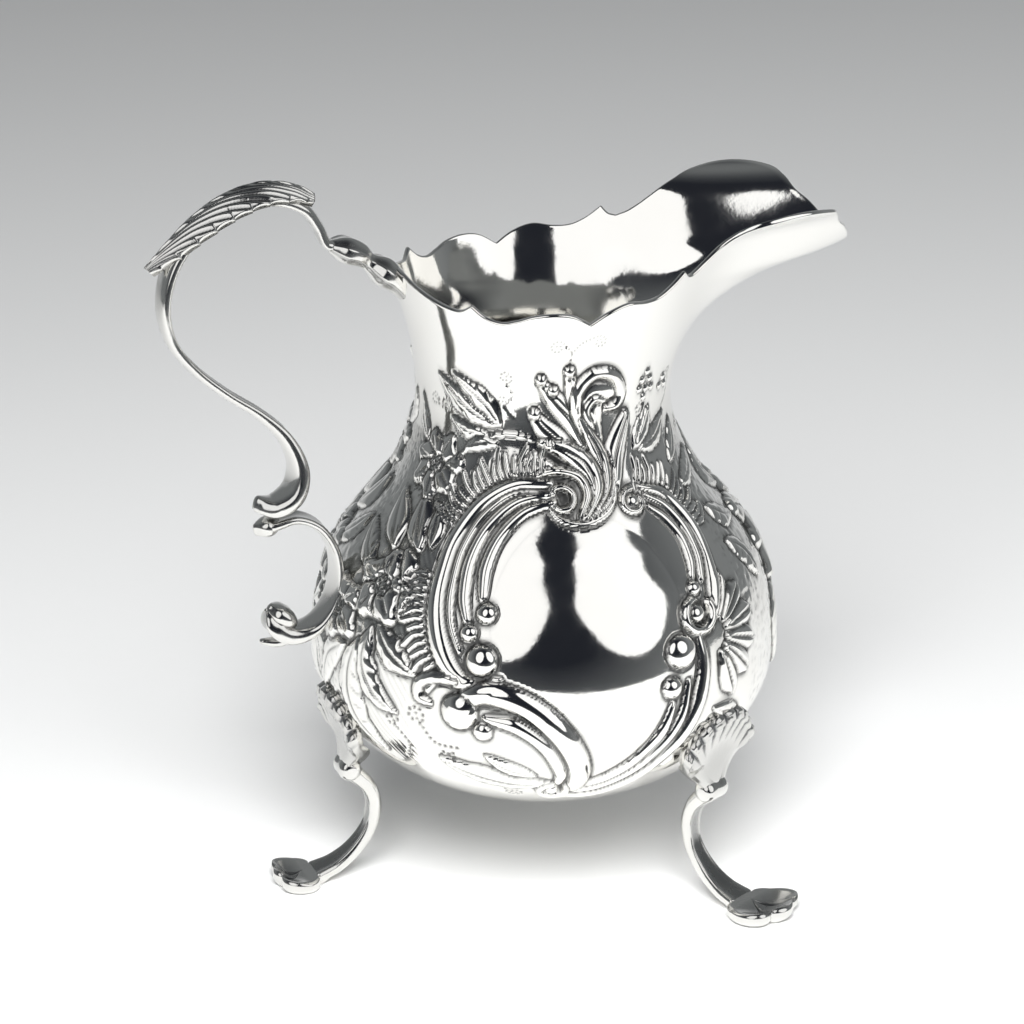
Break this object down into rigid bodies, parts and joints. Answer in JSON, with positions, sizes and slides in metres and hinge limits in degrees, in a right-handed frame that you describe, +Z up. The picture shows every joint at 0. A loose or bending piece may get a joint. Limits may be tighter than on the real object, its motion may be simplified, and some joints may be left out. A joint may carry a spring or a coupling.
{
  "type": "cream jug",
  "caption": "Pear-shaped silver cream jug with a wavy rim, long pouring lip, leaf-capped double-scroll handle and cabriole legs on shell knees.",
  "frame": {"origin": "on the table under the middle of the jug's overall box; the round body's own axis stands 6.3 mm in front of it, towards the spout", "axes": "+X towards the spout, -X towards the handle, +Z up, Y across the jug"},
  "size_m": [0.1026, 0.0736, 0.1058],
  "materials": {
    "raised_silver": "mirror-polished sterling silver sheet with chased work",
    "cast_silver": "polished cast sterling silver"
  },
  "bodies": {
    "root": {"body": "raised_silver", "handle_upper_scroll": "cast_silver", "handle_lower_scroll": "cast_silver", "handle_rim_pad": "cast_silver", "handle_leaf_cap": "cast_silver", "knee_shell_rear": "cast_silver", "leg_rear": "cast_silver", "knee_shell_left": "cast_silver", "leg_left": "cast_silver", "knee_shell_right": "cast_silver", "leg_right": "cast_silver"}
  },
  "joints": []
}
